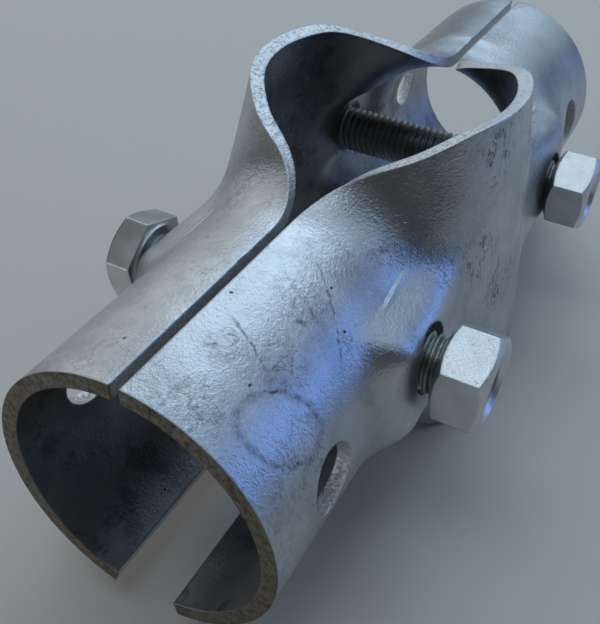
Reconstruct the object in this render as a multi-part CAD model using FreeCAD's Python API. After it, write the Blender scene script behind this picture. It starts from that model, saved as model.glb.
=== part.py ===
import FreeCAD, Part
import math
import os

# Tubes and sheet
rail_d = 48.3            # outside diameter of the rail tube
post_d = 60.3            # outside diameter of the upright post
wall = 3.0               # sheet thickness

# Rail sockets
rail_clear = 0.1         # radial clearance of a socket over the rail tube
socket_len = 33.9        # straight round part at either end
seam_top = 1.9           # gap between the two halves along the top
seam_low = 13.9          # gap between the two halves along the bottom

# Collar round the post
collar_clear = 0.1       # radial clearance of the collar over the post
rim_flat = 13.0          # half length of the level part of the rim
rim_lean = 0.7           # inner edge of the rim lies this much nearer the middle
flare_r = 20.0           # outer radius where the rim flares from the seam
crown_rise = 0.7         # barrel swell of the collar at the middle of its height

# Necks and the flat pads that the bolts seat on
bolt_to_post = 6.15      # clear space between post and bolt
pad_rise = 3.65          # flat of a pad over the round of the socket
pad_half_h = 8.0         # half height of the flat
pad_round = 9.0          # height over which a pad rounds off above and below its flat
pad_past = 8.0           # flat runs this far past the bolt towards the end
pad_fall = 10.0          # and falls to the socket over this length

# Holes
bolt_hole_play = 2.4     # bolt hole is this much wider than the bolt
bolt_hole_up = (2.3, -1.8)    # near and far bolt hole over the middle plane of a half
screw_hole_d = 13.0
screw_hole_in = 19.2     # screw hole centre to the end of the socket

# Bolts and nuts
bolt_d = 12.0
tip_chamfer = 1.4
tip_recess = 1.2         # near bolt ends this far inside its nut
hex_af = 18.0            # across flats of head and nut
hex_chamfer_deg = 30.0
hex_face_in = 1.0        # chamfered face lies this far inside the flats
head_h = 7.5
seat_h = 0.6             # round seat under the head
seat_in = 0.7            # seat lies this far inside the flats
nut_h = 10.0
nut_sink = 1.0           # countersink at either end of the nut bore
thread_gap = 0.06        # radial gap between bolt and nut
rest_gap = 0.3           # bolts lie this far off the low side of their holes
head_gap = (0.3, 1.6)    # near and far head off their pads
nut_gap = (1.8, 0.3)     # near and far nut off their pads
head_turn = (-11.5, 17.0)
nut_turn = (5.0, -3.2)

# Spacing of the pressed sections
neck_step = 3.4
arc_steps = 28
sew_gap = 0.001

# Worked-out values: the strip keeps one developed width from socket to collar
V = FreeCAD.Vector
socket_ri = rail_d / 2.0 + rail_clear
socket_ro = socket_ri + wall
top_open = math.asin(seam_top / 2.0 / socket_ro)
low_open = math.asin(seam_low / 2.0 / socket_ro)
wrap = math.pi / 2.0 - (top_open + low_open) / 2.0
lean = (low_open - top_open) / 2.0
collar_half_h = (socket_ri + wall / 2.0) * wrap
collar_ri = post_d / 2.0 + collar_clear
collar_ro = collar_ri + wall
bolt_x = post_d / 2.0 + bolt_to_post + bolt_d / 2.0
bolt_hole_r = (bolt_d + bolt_hole_play) / 2.0
pad_end = bolt_x + pad_past
neck_end = pad_end + pad_fall
pad_out = socket_ro + pad_rise
half_len = neck_end + socket_len
screw_x = half_len - screw_hole_in


# A soft step from 0 to 1
def soft(u):
    u = min(1.0, max(0.0, u))
    return u * u * (3.0 - 2.0 * u)


# Plan view of one edge of the rim: round the post, flare, then the straight seam
class Rim:
    def __init__(self, round_r, turn_r, seam_y):
        self.round_r = round_r
        self.turn_r = turn_r
        self.seam_y = seam_y
        self.x_seam = math.sqrt((round_r + turn_r) ** 2 - (seam_y + turn_r) ** 2)
        self.x_meet = self.x_seam * round_r / (round_r + turn_r)

    def y(self, x):
        if x <= self.x_meet:
            return math.sqrt(self.round_r ** 2 - x ** 2)
        if x < self.x_seam:
            return self.seam_y + self.turn_r - math.sqrt(self.turn_r ** 2 - (self.x_seam - x) ** 2)
        return self.seam_y


rim_out = Rim(collar_ro, flare_r, socket_ro * math.cos(wrap))
rim_in = Rim(collar_ri, flare_r + wall, socket_ri * math.cos(wrap))


# Outer face of a half at the middle of its height, from collar to socket, without the pads
def side_out(x):
    crown = collar_ro + crown_rise
    return socket_ro + (crown - socket_ro) * (1.0 - soft(x / bolt_x))


# How far the sheet is pressed flat at a place: 1 on a pad, 0 clear of it
def pressed(x, z, flat_h):
    along = soft(x / bolt_x) * (1.0 - soft((x - pad_end) / pad_fall))
    return along * (1.0 - soft((abs(z) - flat_h) / pad_round))


# Points along one face of the sheet at one place along the rail, low edge to top edge
def row(x, inner):
    ax = abs(x)
    fall = 1.0 - soft((ax - rim_flat) / (rim_out.x_seam - rim_flat))
    depth = wall if inner else 0.0
    side = side_out(ax) - depth
    if inner:
        y = rim_in.y(ax)
        z = socket_ri * math.sin(wrap)
        z += (collar_half_h - rim_lean - z) * fall
    else:
        y = rim_out.y(ax)
        z = socket_ro * math.sin(wrap)
        z += (collar_half_h - z) * fall
    bow = side - y
    r = (bow * bow + z * z) / (2.0 * bow)
    half = 2.0 * math.atan2(bow, z)
    pts = []
    for j in range(arc_steps + 1):
        a = half * (2.0 * j / arc_steps - 1.0)
        y = side - r + r * math.cos(a)
        z = r * math.sin(a)
        y += (pad_out - depth - y) * pressed(ax, z, pad_half_h - depth / 2.0)
        pts.append(V(x, y, z))
    return pts


# Places along the rail for the pressed sections between the two sockets
def stations():
    n = int(math.ceil(neck_end / neck_step))
    return [neck_end * i / n for i in range(-n, n + 1)]


# Straight round socket from the neck to the end, on the side given by sign
def socket(sign):
    lines = []
    mids = []
    for r in (socket_ro, socket_ri):
        lines.append([V(sign * neck_end, r * math.cos(wrap), s * r * math.sin(wrap)) for s in (-1, 1)])
        mids.append(V(sign * neck_end, r, 0))
    arcs = [Part.Arc(ends[0], mid, ends[1]).toShape() for ends, mid in zip(lines, mids)]
    rims = [Part.makeLine(lines[0][i], lines[1][i]) for i in (0, 1)]
    out = V(sign * socket_len, 0, 0)
    faces = [edge.extrude(out) for edge in arcs + rims]
    end = Part.Face(Part.Wire(Part.__sortEdges__(arcs + rims)))
    end.translate(out)
    return faces + [end]


# Smooth face through rows of points, with its four edges by name
def skin(rows):
    surf = Part.BSplineSurface()
    surf.interpolate(rows)
    face = surf.toShape()
    sides = {"start": rows[0], "end": rows[-1]}
    sides["low"] = [r[0] for r in rows]
    sides["top"] = [r[-1] for r in rows]
    edges = {}
    for name, pts in sides.items():
        mid = Part.Vertex(pts[len(pts) // 2])
        edges[name] = min(face.Edges, key=lambda e: e.distToShape(mid)[0])
    return face, edges


# One pressed half, outward along +Y, with its holes, leaned in at the top
def clamp_half():
    xs = stations()
    face_o, edge_o = skin([row(x, False) for x in xs])
    face_i, edge_i = skin([row(x, True) for x in xs])
    faces = [face_o, face_i] + socket(-1) + socket(1)
    for name in ("low", "top"):
        faces.append(Part.makeRuledSurface(edge_o[name], edge_i[name]))
    shell = Part.makeShell(faces)
    shell.sewShape(sew_gap)
    body = Part.Solid(shell)
    if body.Volume < 0:
        body.reverse()
    reach = 2.0 * side_out(0)
    for sign, up in zip((-1, 1), bolt_hole_up):
        at = V(sign * bolt_x, 0, up)
        body = body.cut(Part.makeCylinder(bolt_hole_r, reach, at, V(0, 1, 0)))
        at = V(sign * screw_x, 0, 0)
        body = body.cut(Part.makeCylinder(screw_hole_d / 2.0, reach, at, V(0, 1, 0)))
    body.rotate(V(0, 0, 0), V(1, 0, 0), math.degrees(lean))
    return body.Solids[0]


# Hexagon along +Y with a chamfer at its high end, and at its low end if asked
def hexagon(height, both_ends):
    corner_r = hex_af / math.sqrt(3.0)
    pts = []
    for i in range(7):
        a = math.radians(60.0 * i + 30.0)
        pts.append(V(corner_r * math.cos(a), 0, corner_r * math.sin(a)))
    prism = Part.Face(Part.makePolygon(pts)).extrude(V(0, height, 0))
    face_r = hex_af / 2.0 - hex_face_in
    big_r = corner_r + 1.0
    rise = (big_r - face_r) * math.tan(math.radians(hex_chamfer_deg))
    prof = [V(0, 0, 0)]
    if both_ends:
        prof += [V(face_r, 0, 0), V(big_r, rise, 0)]
    else:
        prof += [V(big_r, 0, 0)]
    prof += [V(big_r, height - rise, 0), V(face_r, height, 0), V(0, height, 0), V(0, 0, 0)]
    turned = Part.Face(Part.makePolygon(prof)).revolve(V(0, 0, 0), V(0, 1, 0), 360)
    return prism.common(turned).Solids[0]


# Hex bolt: under face of the head at y = 0, head along +Y, shank along -Y
def bolt(length, turn):
    head = hexagon(head_h - seat_h, False)
    head.rotate(V(0, 0, 0), V(0, 1, 0), turn)
    head.translate(V(0, seat_h, 0))
    seat = Part.makeCylinder(hex_af / 2.0 - seat_in, seat_h, V(0, 0, 0), V(0, 1, 0))
    r = bolt_d / 2.0
    prof = [V(0, 0, 0), V(r, 0, 0), V(r, tip_chamfer - length, 0), V(r - tip_chamfer, -length, 0)]
    prof += [V(0, -length, 0), V(0, 0, 0)]
    shank = Part.Face(Part.makePolygon(prof)).revolve(V(0, 0, 0), V(0, 1, 0), 360)
    return head.fuse(seat).fuse(shank).removeSplitter().Solids[0]


# Hex nut: inner face at y = 0, body along -Y
def nut(turn):
    body = hexagon(nut_h, True)
    r = bolt_d / 2.0 + thread_gap
    body = body.cut(Part.makeCylinder(r, nut_h, V(0, 0, 0), V(0, 1, 0)))
    body = body.cut(Part.makeCone(r + nut_sink, r, nut_sink, V(0, 0, 0), V(0, 1, 0)))
    body = body.cut(Part.makeCone(r + nut_sink, r, nut_sink, V(0, nut_h, 0), V(0, -1, 0)))
    body.translate(V(0, -nut_h, 0))
    body.rotate(V(0, 0, 0), V(0, 1, 0), turn)
    return body.Solids[0]


os.makedirs("parts", exist_ok=True)

# The two halves are a mirrored pair
left = clamp_half()
left.exportStep("parts/clamp_half_left.step")
right = left.mirror(V(0, 0, 0), V(0, 1, 0))
right.exportStep("parts/clamp_half_right.step")

# Each bolt lies in the low side of its holes; heads and nuts meet the low edge of the leaning pads
seat_y = pad_out * math.cos(lean) + pad_half_h * math.sin(lean)
bolt_len = 2.0 * seat_y + head_gap[0] + nut_gap[0] + nut_h - tip_recess
for i, name in enumerate(("near", "far")):
    x = (2 * i - 1) * bolt_x
    hole_low = (bolt_hole_up[i] - bolt_hole_r) * math.cos(lean) + pad_out * math.sin(lean)
    bolt_z = hole_low + rest_gap + bolt_d / 2.0
    b = bolt(bolt_len, head_turn[i])
    b.translate(V(x, seat_y + head_gap[i], bolt_z))
    b.exportStep("parts/bolt_%s.step" % name)
    n = nut(nut_turn[i])
    n.translate(V(x, -seat_y - nut_gap[i], bolt_z))
    n.exportStep("parts/nut_%s.step" % name)
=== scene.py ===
import math

import bmesh
import bpy
from mathutils import Matrix, Vector


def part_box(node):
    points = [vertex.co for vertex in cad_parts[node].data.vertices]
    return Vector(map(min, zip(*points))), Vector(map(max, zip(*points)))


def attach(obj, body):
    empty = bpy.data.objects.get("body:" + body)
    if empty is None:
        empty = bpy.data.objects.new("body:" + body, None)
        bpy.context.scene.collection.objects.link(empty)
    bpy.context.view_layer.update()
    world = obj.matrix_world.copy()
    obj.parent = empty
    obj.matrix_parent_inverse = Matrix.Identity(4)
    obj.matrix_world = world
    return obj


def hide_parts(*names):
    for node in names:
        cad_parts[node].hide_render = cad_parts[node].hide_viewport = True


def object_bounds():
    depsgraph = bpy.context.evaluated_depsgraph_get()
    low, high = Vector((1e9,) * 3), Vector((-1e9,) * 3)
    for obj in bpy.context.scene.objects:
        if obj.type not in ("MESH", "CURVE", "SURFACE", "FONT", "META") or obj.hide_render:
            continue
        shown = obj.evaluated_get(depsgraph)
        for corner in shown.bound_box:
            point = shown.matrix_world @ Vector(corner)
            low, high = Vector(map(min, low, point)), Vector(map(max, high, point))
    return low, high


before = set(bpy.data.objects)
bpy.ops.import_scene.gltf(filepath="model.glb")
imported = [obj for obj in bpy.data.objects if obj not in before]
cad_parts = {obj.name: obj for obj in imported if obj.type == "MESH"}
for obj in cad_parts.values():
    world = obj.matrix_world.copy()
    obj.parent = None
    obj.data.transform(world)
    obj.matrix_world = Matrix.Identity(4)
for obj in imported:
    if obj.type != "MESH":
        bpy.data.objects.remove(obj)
cad_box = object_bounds()

# Slack of the meshes, in metres, and the turn between two faces that makes their edge sharp
MERGE = 2e-6
CUT_SLACK = 1e-7
RIM_SLACK = 1e-6
SHARP_ANGLE = math.radians(35.0)

# Thread of the bolts, with the shares of the pitch at which its flanks start and end
THREAD_PITCH = 0.00175
THREAD_DEPTH = 0.00095
THREAD_STEPS = 40
THREAD_RISE = (0.12, 0.47)
THREAD_FALL = (0.65, 1.0)
TIP_CHAMFER = 0.0014

# A bolt's head reaches out more than this many radii of its shank
HEAD_WIDER = 1.2

# Round of the edges, with its samples, and depth of the bump in each finish, in metres
SHEET_EDGE_ROUND = 0.0006
HEX_EDGE_ROUND = 0.0006
EDGE_SAMPLES = 6
SHEET_BUMP = 0.0003
CUT_BUMP = 0.0004
NUT_BUMP = 0.00016
BOLT_BUMP = 0.00012

# Fold at the foot of the pads: the halves lean, and the fold rises towards the collar
SHEET_LEAN = math.radians(6.4)
FOLD_START = 0.0355
FOLD_END = 0.0492
FOLD_UP = 0.0153
FOLD_RISE = 0.0016
FOLD_WIDE = 0.0015

# Wear: rubbed patches, a ring and scratches on the near right socket and neck, runs down the collar wall
RUBBED = [((-0.0730, -0.0154, 0.0224), 0.0070), ((-0.0617, -0.0135, 0.0236), 0.0065),
          ((-0.0778, -0.0079, 0.0260), 0.0045), ((-0.0901, -0.0105, 0.0251), 0.0075),
          ((-0.0381, -0.0172, 0.0223), 0.0040), ((-0.0597, -0.0203, 0.0182), 0.0030)]
RUNS = [((-0.0120, -0.0285, 0.0325), 0.0080), ((-0.0161, -0.0301, 0.0130), 0.0080),
        ((-0.0084, -0.0330, 0.0020), 0.0090)]
RING_AT = (-0.0814, -0.0203, 0.0176)
RING_WAY = (0.684, -0.464, -0.559)
RING_R = 0.0056
RING_STRETCH = 0.56
SCRATCHES = [((-0.0512, -0.0106, 0.0251), (-0.0638, -0.0217, 0.0164)),
             ((-0.0720, -0.0057, 0.0266), (-0.0764, -0.0147, 0.0229)),
             ((-0.0803, -0.0160, 0.0220), (-0.0762, -0.0182, 0.0203))]
SCRATCH_WIDE = 0.00035

# Middle value of a noise
NOISE_MIDDLE = 0.5

# Ragged edges of the wear: grain and reach of the shake, in metres
WEAR_SHAKE = 0.0025
PATCH_REACH = 0.004
RING_REACH = 0.0018
SCRATCH_SHAKE = 0.0016
SCRATCH_REACH = 0.0012

# Grain of the sheet's zinc and of its wear, in metres, with the stretch of runs and drawn lines
CLOUD_GRAIN = 0.012
SOIL_GRAIN = 0.016
STAIN_GRAIN = 0.010
FINE_GRAIN = 0.00055
GRIT_GRAIN = 0.00030
WAVE_GRAIN = 0.0020
DIMPLE_GRAIN = 0.0009
RUB_AREA_GRAIN = 0.024
STROKE_GRAIN = 0.0042
SMEAR_GRAIN = 0.0016
DOT_GRAIN = 0.0007
RUN_AREA_GRAIN = 0.020
RUN_GRAIN = 0.0036
RUN_STRETCH = (1.0, 1.0, 0.35)
DRAW_AREA_GRAIN = 0.010
DRAW_GRAIN = 0.004
DRAW_STRETCH = (0.07, 1.0, 1.0)
BREAK_GRAIN = 0.0014

# Pits in the sheet's zinc: size of their cells in metres, radius in cells, share of cells with a pit
PIT_CELL = 0.0045
PIT_R = 0.08
PIT_SHARE = 0.30

# Grain of the cut faces, the nuts and the bolts, in metres
TEAR_GRAIN = 0.0006
FLECK_GRAIN = 0.0011
LUMP_GRAIN = 0.0018
NUT_CLOUD_GRAIN = 0.004
NUT_FINE_GRAIN = 0.00032
NUT_SCUFF_GRAIN = 0.0012
BOLT_CLOUD_GRAIN = 0.005
BOLT_FINE_GRAIN = 0.0005

# Cut faces this far out along X are the sheet's ends
END_SLACK = 0.0001
END_X = cad_box[1].x - END_SLACK
END_BLEND = 0.0006

# Colours of the zinc and of what soils it, with the shares of stain and the level of soil
OUTSIDE_DEEP = (0.46, 0.48, 0.50, 1)
OUTSIDE_PALE = (0.60, 0.62, 0.64, 1)
OUTSIDE_STAINED = 0.12
# Inner face: the same zinc painted darker, as painted shade in the hollow of the sockets, with a larger
# share of dark stains
INSIDE_SHADED_DEEP = (0.29, 0.30, 0.31, 1)
INSIDE_SHADED_PALE = (0.41, 0.42, 0.435, 1)
INSIDE_STAINED = 0.65
SOILED_LEVEL = 0.75
STAIN_GREY = (0.16, 0.165, 0.18, 1)
WORN_GREY = (0.11, 0.112, 0.115, 1)
PIT_BLACK = (0.05, 0.05, 0.05, 1)
RIM_BRIGHT = (0.68, 0.69, 0.70, 1)
RIM_FLECK = (0.26, 0.26, 0.26, 1)
# Ends of the sheet: dark brown as painted reflection of dark surroundings, with dark grime flecks
END_REFLECTED_BROWN = (0.27, 0.235, 0.185, 1)
END_GRIME = (0.06, 0.05, 0.04, 1)
NUT_DEEP = (0.60, 0.61, 0.62, 1)
NUT_PALE = (0.72, 0.73, 0.74, 1)
NUT_SCUFF = (0.30, 0.30, 0.30, 1)
# Bolt heads painted paler as painted light, threads painted darker as painted shade
HEAD_LIT_DEEP = (0.54, 0.56, 0.56, 1)
HEAD_LIT_PALE = (0.70, 0.72, 0.72, 1)
THREAD_SHADED_DEEP = (0.31, 0.33, 0.32, 1)
THREAD_SHADED_PALE = (0.45, 0.47, 0.46, 1)

# Floor, world and camera
FLOOR_HALF = 8.0
FLOOR_GAP = 0.0005
FLOOR_COLOUR = (0.66, 0.61, 0.55, 1)
FLOOR_ROUGH = 0.7
WORLD_GREY = (0.90, 0.90, 0.90, 1)
WORLD_STRENGTH = 0.06
CAMERA_PLACE = Vector((-0.15551, -0.06062, 0.11041))
CAMERA_RIGHT = Vector((0.4797, -0.8769, 0.0313))
CAMERA_UP = Vector((0.5477, 0.3271, 0.7701))
CAMERA_LENS = 47.62
CAMERA_NEAR = 0.005


# One shader socket that takes part in plain sums, and the way to add any other node
class Wire:
    def __init__(self, tree, socket=None):
        self.tree = tree
        self.socket = socket

    def node(self, kind, settings, sockets, out=0):
        made = self.tree.nodes.new("ShaderNode" + kind)
        for name, value in settings.items():
            if name == "stops":
                elements = made.color_ramp.elements
                while len(elements) < len(value):
                    elements.new(1.0)
                for stop, (place, level) in zip(elements, value):
                    stop.position = place
                    stop.color = (level, level, level, 1.0)
            else:
                setattr(made, name, value)
        for name, value in sockets.items():
            if isinstance(value, Wire):
                self.tree.links.new(value.socket, made.inputs[name])
            else:
                made.inputs[name].default_value = value
        return Wire(self.tree, made.outputs[out]) if made.outputs else None

    def sum(self, operation, first, second):
        return self.node("Math", {"operation": operation}, {0: first, 1: second})

    def __add__(self, other):
        return self.sum("ADD", self, other)

    def __radd__(self, other):
        return self.sum("ADD", other, self)

    def __sub__(self, other):
        return self.sum("SUBTRACT", self, other)

    def __rsub__(self, other):
        return self.sum("SUBTRACT", other, self)

    def __mul__(self, other):
        return self.sum("MULTIPLY", self, other)

    def __rmul__(self, other):
        return self.sum("MULTIPLY", other, self)

    def __abs__(self):
        return self.node("Math", {"operation": "ABSOLUTE"}, {0: self})


# Noise in a given size of grain, in metres, stretched along an axis where asked
def noise(place, grain, detail=2.0, rough=0.5, stretch=None):
    at = place
    if stretch:
        at = place.node("Mapping", {}, {"Vector": place, "Scale": stretch})
    sockets = {"Vector": at, "Scale": 1.0 / grain, "Detail": detail, "Roughness": rough}
    return place.node("TexNoise", {}, sockets)


# Level that goes through given stops, each a value and the level there
def ramp(value, stops):
    return value.node("ValToRGB", {"stops": stops}, {"Fac": value})


# First colour, with a share of the second laid over it: a Mix node takes colours at sockets 6 and 7
def mix_colour(share, first, second):
    sockets = {0: share, 6: first, 7: second}
    return share.node("Mix", {"data_type": "RGBA"}, sockets, 2)


# Colour that goes from deep to pale with a cloud of noise
def clouded(cloud, deep, pale):
    return mix_colour(ramp(cloud, [(0.3, 0.0), (0.7, 1.0)]), deep, pale)


# Place along one axis of the clamp's own frame
def axis_of(place, axis):
    return place.node("SeparateXYZ", {}, {"Vector": place}, axis)


# New material: place is the point on the piece, in the clamp's own frame
def new_material(name):
    made = bpy.data.materials.new(name)
    made.use_nodes = True
    tree = made.node_tree
    tree.nodes.clear()
    place = Wire(tree).node("TexCoord", {}, {}, "Object")
    return made, place


# Bare metal with the given colour, roughness and bump, and its edges rounded off
def close_material(place, colour, rough, height, distance, edge_round, strength):
    rounded = place.node("Bevel", {"samples": EDGE_SAMPLES}, {"Radius": edge_round})
    sockets = {"Height": height, "Strength": strength, "Distance": distance, "Normal": rounded}
    normal = place.node("Bump", {}, sockets)
    sockets = {"Base Color": colour, "Roughness": rough, "Metallic": 1.0, "Normal": normal}
    face = place.node("BsdfPrincipled", {}, sockets)
    place.node("OutputMaterial", {}, {"Surface": face})


# Thin winding lines where a noise crosses its middle value
def threads_of(value, width):
    return ramp(abs(value - NOISE_MIDDLE), [(0.0, 1.0), (width, 0.0)])


# Small round pits, one in some of the cells
def pits_of(place, cell, radius, share):
    settings = {"feature": "F1"}
    sockets = {"Vector": place, "Scale": 1.0 / cell}
    near = place.node("TexVoronoi", settings, sockets, "Distance")
    tint = place.node("TexVoronoi", settings, sockets, "Color")
    chance = tint.node("SeparateColor", {}, {"Color": tint}, "Red")
    chosen = ramp(chance, [(share, 1.0), (share + 0.02, 0.0)])
    return ramp(near, [(radius * 0.5, 1.0), (radius, 0.0)]) * chosen


# Fold at the foot of each pad: height from -1 to 1 over the sheet
def pad_fold(place):
    along = abs(axis_of(place, "X"))
    out = abs(axis_of(place, "Y"))
    up = axis_of(place, "Z") * math.cos(SHEET_LEAN) - out * math.sin(SHEET_LEAN)
    curl = (FOLD_END - along) * (1.0 / (FOLD_END - FOLD_START))
    off = (up - FOLD_UP - curl * curl * FOLD_RISE) * (0.5 / FOLD_WIDE) + 0.5
    across = ramp(off, [(0.25, 0.5), (0.40, 0.92), (0.58, 0.1), (0.85, 0.5)])
    ends = ramp(curl, [(0.0, 0.0), (0.3, 1.0), (0.8, 1.0), (1.0, 0.0)])
    return (across * 2.0 - 1.0) * ends


# Distance of the point on the piece from a given place
def away_from(place, spot):
    return place.node("VectorMath", {"operation": "DISTANCE"}, {0: place, 1: spot}, "Value")


# Distance of the point on the piece from a given place, counted along one way
def along_way(place, spot, way):
    apart = place.node("VectorMath", {"operation": "SUBTRACT"}, {0: place, 1: spot})
    return apart.node("VectorMath", {"operation": "DOT_PRODUCT"}, {0: apart, 1: way}, "Value")


# Distance from a given place that grows less along one way, so that a ring by it is oval
def oval_from(place, spot, way, stretch):
    away = away_from(place, spot)
    along = along_way(place, spot, way)
    squared = away * away - along * along * stretch
    return squared.node("Math", {"operation": "SQRT"}, {0: squared})


# Soft round patches about given places, added to a share of the sheet
def with_patches(share, place, patches):
    for spot, radius in patches:
        share = share + ramp(away_from(place, spot) * (1.0 / radius), [(0.35, 1.0), (1.0, 0.0)])
    return share


# Thin line over the rail socket from one place to another, seen straight down on the socket
def line_between(place, start, end, width):
    run = Vector(end) - Vector(start)
    middle = (Vector(start) + Vector(end)) / 2.0
    side = run.cross((0.0, middle.y, middle.z)).normalized()
    thin = abs(along_way(place, middle, side)) * (0.5 / width)
    held = ramp(away_from(place, middle) * (1.0 / run.length), [(0.35, 1.0), (0.55, 0.0)])
    return ramp(thin, [(0.2, 1.0), (0.5, 0.0)]) * held


# Place on the piece, shaken a little, so that a mark laid by it has ragged edges
def shaken(place, grain, reach):
    sockets = {"Vector": place, "Scale": 1.0 / grain, "Detail": 2.0}
    drift = place.node("TexNoise", {}, sockets, "Color")
    sockets = {0: drift, 1: (NOISE_MIDDLE,) * 3}
    centred = drift.node("VectorMath", {"operation": "SUBTRACT"}, sockets)
    sockets = {0: centred, 1: (reach,) * 3, 2: place}
    return place.node("VectorMath", {"operation": "MULTIPLY_ADD"}, sockets)


# Ring rubbed by something round
def ring_mark(place):
    oval = oval_from(shaken(place, WEAR_SHAKE, RING_REACH), RING_AT, RING_WAY, RING_STRETCH)
    return ramp(oval * (0.5 / RING_R), [(0.42, 0.0), (0.49, 1.0), (0.52, 1.0), (0.58, 0.0)])


# Fine drawn lines along the sheet in some areas, and the scratches
def scratch_marks(place):
    lines = threads_of(noise(place, DRAW_GRAIN, detail=1.0, stretch=DRAW_STRETCH), width=0.004)
    scratch = lines * ramp(noise(place, DRAW_AREA_GRAIN, detail=1.0), [(0.60, 0.0), (0.66, 0.6)])
    drawn = shaken(place, SCRATCH_SHAKE, SCRATCH_REACH)
    broken = ramp(noise(place, BREAK_GRAIN), [(0.42, 0.15), (0.56, 1.0)])
    for start, end in SCRATCHES:
        scratch = scratch + line_between(drawn, start, end, SCRATCH_WIDE) * broken
    return scratch


# How dark the sheet is worn: rub marks, runs, the ring, scratches and specks
def sheet_wear(place):
    loose = shaken(place, WEAR_SHAKE, PATCH_REACH)
    smear = ramp(noise(place, SMEAR_GRAIN, detail=5.0, rough=0.75), [(0.47, 0.0), (0.66, 1.0)])
    chance = ramp(noise(place, RUB_AREA_GRAIN), [(0.54, 0.0), (0.70, 0.7)])
    strokes = threads_of(noise(place, STROKE_GRAIN, detail=4.0, rough=0.62), width=0.020)
    dots = ramp(noise(place, DOT_GRAIN, detail=3.0, rough=0.7), [(0.54, 0.0), (0.64, 1.0)])
    rubbed = strokes * 0.5 + smear * 0.45 + dots * smear * 0.4
    rub = with_patches(chance, loose, RUBBED) * rubbed
    chance = ramp(noise(place, RUN_AREA_GRAIN), [(0.52, 0.0), (0.66, 0.5)])
    streaks = threads_of(noise(place, RUN_GRAIN, detail=4.0, rough=0.65, stretch=RUN_STRETCH), width=0.022)
    runs = with_patches(chance, loose, RUNS) * (streaks * 0.9 + smear * 0.2)
    ring = ring_mark(place) * (smear * 0.4 + 0.22)
    speck = ramp(noise(place, FINE_GRAIN, detail=1.0), [(0.60, 0.0), (0.72, 1.0)])
    return rub + runs + ring + scratch_marks(place) * 0.6 + speck * 0.14


# Height of the zinc's own grain on the sheet
def sheet_grain(place):
    grain = noise(place, FINE_GRAIN, detail=2.0, rough=0.55)
    grit = noise(place, GRIT_GRAIN, detail=1.0)
    wave = noise(place, WAVE_GRAIN, detail=3.0, rough=0.6)
    dimples = ramp(noise(place, DIMPLE_GRAIN, detail=1.0), [(0.52, 0.0), (0.68, 1.0)])
    return grain * 0.42 + grit * 0.24 + wave * 0.16 + dimples * 0.14


# Hot-dip zinc on the sheet: cloudy grey from deep to pale, with soil, stains, wear and pits
def galvanised_sheet(name, deep, pale, stained):
    made, place = new_material(name)
    cloud = noise(place, CLOUD_GRAIN, detail=3.0, rough=0.55)
    soil = ramp(noise(place, SOIL_GRAIN, detail=4.0, rough=0.6), [(0.45, 0.0), (0.72, 0.7)])
    stain = ramp(noise(place, STAIN_GRAIN, detail=5.0, rough=0.6), [(0.56, 0.0), (0.61, 1.0)]) * stained
    wear = sheet_wear(place)
    pits = pits_of(place, PIT_CELL, PIT_R, PIT_SHARE)
    soil_grey = [SOILED_LEVEL * level for level in deep[:3]] + [1]
    soiled = mix_colour(soil, clouded(cloud, deep, pale), soil_grey)
    spoilt = mix_colour(stain, soiled, STAIN_GREY)
    worn = mix_colour(wear, spoilt, WORN_GREY)
    colour = mix_colour(pits * 0.85, worn, PIT_BLACK)
    rough = 0.31 + cloud * 0.10 + wear * 0.16
    height = sheet_grain(place) - pits * 0.9 - wear * 0.3 + pad_fold(place) * 0.85
    close_material(place, colour, rough, height, SHEET_BUMP, SHEET_EDGE_ROUND, strength=0.6)
    return made


# Zinc over the cut face of the sheet: bright and flecked on the rims; on the ends a dark brown that is
# painted reflection of dark surroundings, with flecks of dirt
def cut_edge():
    made, place = new_material("cut_edge")
    torn = noise(place, TEAR_GRAIN, detail=3.0, rough=0.6)
    lump = noise(place, LUMP_GRAIN, detail=3.0, rough=0.6)
    fleck = ramp(noise(place, FLECK_GRAIN, detail=4.0, rough=0.7), [(0.52, 0.0), (0.72, 1.0)])
    grime = ramp(noise(place, FLECK_GRAIN, detail=5.0, rough=0.75), [(0.42, 0.0), (0.64, 0.8)])
    along = abs(axis_of(place, "X"))
    at_end = ramp((along - END_X) * (1.0 / END_BLEND) + 1.0, [(0.0, 0.0), (1.0, 1.0)])
    rim = mix_colour(fleck * 0.5, RIM_BRIGHT, RIM_FLECK)
    # On the ends, painted reflection in dark brown, flecked with grime
    colour = mix_colour(at_end, rim, mix_colour(grime, END_REFLECTED_BROWN, END_GRIME))
    rough = 0.36 + torn * 0.16 + at_end * 0.12
    height = torn - fleck * 0.5 + at_end * (lump * 1.4 - grime * 0.5)
    close_material(place, colour, rough, height, CUT_BUMP, SHEET_EDGE_ROUND, strength=0.7)
    return made


# Bright zinc plate on the nuts
def bright_zinc():
    made, place = new_material("bright_zinc")
    cloud = noise(place, NUT_CLOUD_GRAIN, detail=3.0, rough=0.55)
    fine = noise(place, NUT_FINE_GRAIN, detail=2.0, rough=0.6)
    scuff = ramp(noise(place, NUT_SCUFF_GRAIN, detail=5.0, rough=0.75), [(0.60, 0.0), (0.74, 1.0)])
    colour = mix_colour(scuff * 0.4, clouded(cloud, NUT_DEEP, NUT_PALE), NUT_SCUFF)
    rough = 0.24 + cloud * 0.08 + fine * 0.06
    height = fine - scuff * 0.4
    close_material(place, colour, rough, height, NUT_BUMP, HEX_EDGE_ROUND, strength=0.5)
    return made


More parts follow.
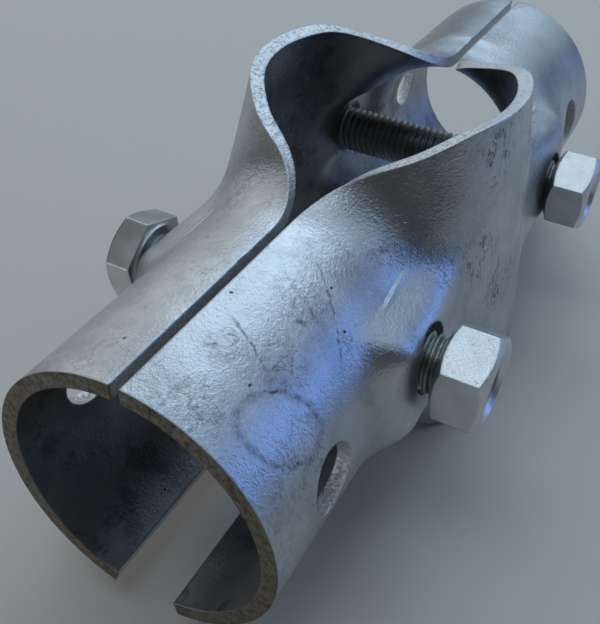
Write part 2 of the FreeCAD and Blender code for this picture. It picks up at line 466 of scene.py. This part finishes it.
# Duller zinc on the bolts, cloudy from deep to pale
def dull_zinc(name, deep, pale):
    made, place = new_material(name)
    cloud = noise(place, BOLT_CLOUD_GRAIN, detail=3.0, rough=0.55)
    fine = noise(place, BOLT_FINE_GRAIN)
    colour = clouded(cloud, deep, pale)
    rough = 0.27 + cloud * 0.10 + fine * 0.06
    close_material(place, colour, rough, fine, BOLT_BUMP, HEX_EDGE_ROUND, strength=0.25)
    return made


# A solid of the frame as one mesh, with the corners of its faces joined
def joined(node):
    bm = bmesh.new()
    bm.from_mesh(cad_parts[node].data)
    bmesh.ops.remove_doubles(bm, verts=bm.verts, dist=MERGE)
    return bm


# Smooth faces that meet in sharp edges where they turn far
def mark_sharp(bm):
    for face in bm.faces:
        face.smooth = True
    for edge in bm.edges:
        edge.smooth = len(edge.link_faces) == 2 and edge.calc_face_angle() < SHARP_ANGLE


# A finished piece, in place of its solid
def new_piece(bm, name, node, materials):
    mark_sharp(bm)
    mesh = bpy.data.meshes.new(name)
    bm.to_mesh(mesh)
    bm.free()
    for material in materials:
        mesh.materials.append(material)
    piece = bpy.data.objects.new(name, mesh)
    bpy.context.scene.collection.objects.link(piece)
    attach(piece, "root")
    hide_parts(node)


# Faces of a pressed half in groups that are parted by its sharp edges, largest first
def face_groups(bm):
    mark_sharp(bm)
    left = set(bm.faces)
    groups = []
    while left:
        group = [left.pop()]
        for face in group:
            for edge in face.edges:
                for other in edge.link_faces:
                    if edge.smooth and other in left:
                        left.remove(other)
                        group.append(other)
        groups.append(group)
    return sorted(groups, key=lambda g: -sum(f.calc_area() for f in g))


# A pressed half: its outer face is the largest, its inner face the next, and all the others were cut
def pressed_half(node, outer, inner, cut):
    bm = joined(node)
    zincs = [outer, inner, cut]
    for place, group in enumerate(face_groups(bm)):
        for face in group:
            face.material_index = min(place, len(zincs) - 1)
    new_piece(bm, node + "_sheet", node, zincs)


# Distance of a vertex from the line along Y at x, z
def off_axis(vert, x, z):
    return math.hypot(vert.co.x - x, vert.co.z - z)


# A threaded shank along Y from top down to tip, with a turn to spare past both, about the axis at x, z
def threaded_shank(bm, x, z, crest_r, top, tip):
    root_r = crest_r - THREAD_DEPTH
    turns = math.ceil((top - tip) / THREAD_PITCH) + 2
    start = tip - THREAD_PITCH
    shape = [(root_r, 0.0), (root_r, THREAD_RISE[0]), (crest_r, THREAD_RISE[1]),
             (crest_r, THREAD_FALL[0]), (root_r, THREAD_FALL[1])]
    verts = [bm.verts.new((x + r, start + share * THREAD_PITCH, z)) for r, share in shape]
    edges = [bm.edges.new(pair) for pair in zip(verts, verts[1:])]
    rise = Vector((0.0, THREAD_PITCH / THREAD_STEPS, 0.0))
    bmesh.ops.spin(bm, geom=verts + edges, cent=(x, 0.0, z), axis=(0.0, 1.0, 0.0), dvec=rise,
                   angle=2.0 * math.pi * turns, steps=THREAD_STEPS * turns, use_merge=False)
    bmesh.ops.remove_doubles(bm, verts=bm.verts, dist=MERGE)


# Cut a mesh across Y, keep what lies above or below, and close the cut
def trim(bm, y, keep_above):
    geom = bm.verts[:] + bm.edges[:] + bm.faces[:]
    bmesh.ops.bisect_plane(bm, geom=geom, dist=CUT_SLACK, plane_co=(0.0, y, 0.0), plane_no=(0.0, 1.0, 0.0),
                           clear_inner=keep_above, clear_outer=not keep_above)
    rim = [e for e in bm.edges if e.is_boundary and all(abs(v.co.y - y) < RIM_SLACK for v in e.verts)]
    bmesh.ops.edgeloop_fill(bm, edges=rim)


# Draw the thread in to a chamfer at the tip
def chamfer_tip(bm, x, z, crest_r, tip):
    for vert in bm.verts:
        reach = off_axis(vert, x, z)
        limit = crest_r - TIP_CHAMFER + (vert.co.y - tip)
        if reach > limit:
            vert.co.x = x + (vert.co.x - x) * limit / reach
            vert.co.z = z + (vert.co.z - z) * limit / reach


# A bolt: the head as in the solid, its shank cut with a thread; the head's paler zinc is painted light and
# the thread's darker zinc painted shade
def threaded_bolt(node, lit_head_zinc, shaded_thread_zinc):
    low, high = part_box(node)
    x = (low.x + high.x) / 2.0
    z = (low.z + high.z) / 2.0
    head = joined(node)
    shank_r = min(off_axis(v, x, z) for v in head.verts if v.co.y > low.y + 2 * TIP_CHAMFER)
    seat = min(v.co.y for v in head.verts if off_axis(v, x, z) > HEAD_WIDER * shank_r)
    trim(head, seat + MERGE, keep_above=True)
    thread = bmesh.new()
    threaded_shank(thread, x, z, shank_r, seat, low.y)
    trim(thread, low.y, keep_above=True)
    trim(thread, seat + 2 * MERGE, keep_above=False)
    chamfer_tip(thread, x, z, shank_r, low.y)
    bmesh.ops.recalc_face_normals(thread, faces=thread.faces)
    zincs = [lit_head_zinc, shaded_thread_zinc]
    for face in thread.faces:
        face.material_index = zincs.index(shaded_thread_zinc)
    spare = bpy.data.meshes.new("spare")
    thread.to_mesh(spare)
    head.from_mesh(spare)
    thread.free()
    bpy.data.meshes.remove(spare)
    new_piece(head, node + "_threaded", node, zincs)


# A nut as in the solid
def hex_nut(node, material):
    new_piece(joined(node), node + "_plated", node, [material])


# Floor just under the clamp
def pale_floor():
    paint = bpy.data.materials.new("pale_floor")
    paint.use_nodes = True
    face = paint.node_tree.nodes["Principled BSDF"]
    face.inputs["Base Color"].default_value = FLOOR_COLOUR
    face.inputs["Roughness"].default_value = FLOOR_ROUGH
    under = Matrix.Translation((0.0, 0.0, cad_box[0].z - FLOOR_GAP))
    bm = bmesh.new()
    bmesh.ops.create_grid(bm, x_segments=1, y_segments=1, size=FLOOR_HALF, matrix=under)
    mesh = bpy.data.meshes.new("floor")
    bm.to_mesh(mesh)
    bm.free()
    mesh.materials.append(paint)
    floor = bpy.data.objects.new("floor", mesh)
    bpy.context.scene.collection.objects.link(floor)


# Soft round lamp aimed at the clamp, with its light spread over a given angle
def soft_lamp(name, place, size, power, colour, spread=math.pi):
    data = bpy.data.lights.new(name, "AREA")
    data.shape = "DISK"
    data.size = size
    data.energy = power
    data.color = colour
    data.spread = spread
    lamp = bpy.data.objects.new(name, data)
    lamp.location = place
    lamp.rotation_euler = (-Vector(place)).to_track_quat("-Z", "Y").to_euler()
    bpy.context.scene.collection.objects.link(lamp)


# Even grey light from all round
def grey_world():
    world = bpy.data.worlds.new("studio")
    world.use_nodes = True
    sky = world.node_tree.nodes["Background"]
    sky.inputs["Color"].default_value = WORLD_GREY
    sky.inputs["Strength"].default_value = WORLD_STRENGTH
    bpy.context.scene.world = world


# Camera as the photograph was taken
def photo_camera():
    lens = bpy.data.cameras.new("camera")
    lens.lens = CAMERA_LENS
    lens.clip_start = CAMERA_NEAR
    camera = bpy.data.objects.new("camera", lens)
    turn = Matrix((CAMERA_RIGHT, CAMERA_UP, CAMERA_RIGHT.cross(CAMERA_UP))).transposed().to_4x4()
    camera.matrix_world = Matrix.Translation(CAMERA_PLACE) @ turn
    bpy.context.scene.collection.objects.link(camera)
    bpy.context.scene.camera = camera


# The clamp
outer_zinc = galvanised_sheet("galvanised_outside", OUTSIDE_DEEP, OUTSIDE_PALE, OUTSIDE_STAINED)
# Inner face of the halves painted darker: painted shade in the hollow of the sockets
shaded_inner_zinc = galvanised_sheet("galvanised_inside_shaded", INSIDE_SHADED_DEEP, INSIDE_SHADED_PALE, INSIDE_STAINED)
cut_zinc = cut_edge()
for side in ("left", "right"):
    pressed_half("clamp_half_" + side, outer_zinc, shaded_inner_zinc, cut_zinc)
# Head zinc painted paler as painted light, thread zinc darker as painted shade
lit_head_zinc = dull_zinc("zinc_head_lit", HEAD_LIT_DEEP, HEAD_LIT_PALE)
shaded_thread_zinc = dull_zinc("zinc_thread_shaded", THREAD_SHADED_DEEP, THREAD_SHADED_PALE)
nut_zinc = bright_zinc()
for end in ("near", "far"):
    threaded_bolt("bolt_" + end, lit_head_zinc, shaded_thread_zinc)
    hex_nut("nut_" + end, nut_zinc)

# The room: place and size of each lamp in metres, power in watts
pale_floor()
soft_lamp("far_window", (1.80, 0.50, 1.80), 2.00, 20.5, (0.62, 0.81, 1.0))
soft_lamp("far_low", (2.50, -0.45, 0.90), 1.25, 3.2, (0.60, 0.80, 1.0))
soft_lamp("overhead", (-0.38, 0.38, 2.50), 1.75, 12.0, (0.70, 0.87, 1.0))
soft_lamp("right_ceiling", (1.00, -1.05, 2.05), 2.25, 9.0, (0.54, 0.75, 1.0))
soft_lamp("right_window", (1.65, -1.95, 0.55), 1.38, 2.3, (0.20, 0.40, 1.0), math.radians(90.0))
soft_lamp("left_wall", (1.12, 2.12, 1.20), 2.50, 12.0, (0.92, 0.96, 1.0))
soft_lamp("left_near", (-1.88, 1.50, 0.75), 1.50, 6.5, (0.97, 0.98, 1.0))
grey_world()
bpy.context.scene.view_settings.view_transform = "Standard"
photo_camera()
